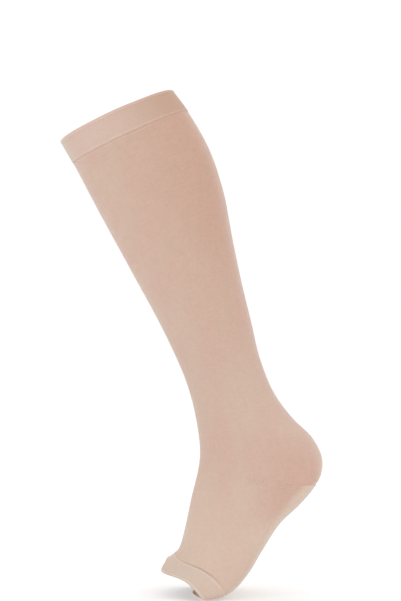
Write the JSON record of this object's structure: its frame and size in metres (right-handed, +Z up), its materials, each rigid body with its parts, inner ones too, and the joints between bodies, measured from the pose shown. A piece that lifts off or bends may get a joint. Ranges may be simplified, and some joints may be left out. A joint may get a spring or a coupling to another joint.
{
  "type": "compression stocking",
  "caption": "Knee-high, open-toe compression stocking in beige elastic knit, hollow, shaped as worn on a leaning leg with the heel raised.",
  "frame": {"origin": "middle of the mouth of the top band, where the leg goes in", "axes": "+Z up; -X towards the front of the leg and the toes, +X towards the heel; -Y the outer side, +Y the inner side"},
  "size_m": [0.2486, 0.1122, 0.4771],
  "materials": {
    "leg_knit": "matte, dense fine knit",
    "band_knit": "matte, fine ribbed knit, folded double",
    "toe_knit": "matte, plain knit, folded double"
  },
  "bodies": {
    "root": {"top_band": "band_knit", "leg": "leg_knit", "heel_pocket": "leg_knit", "foot": "leg_knit", "toe_band": "toe_knit"}
  },
  "joints": []
}
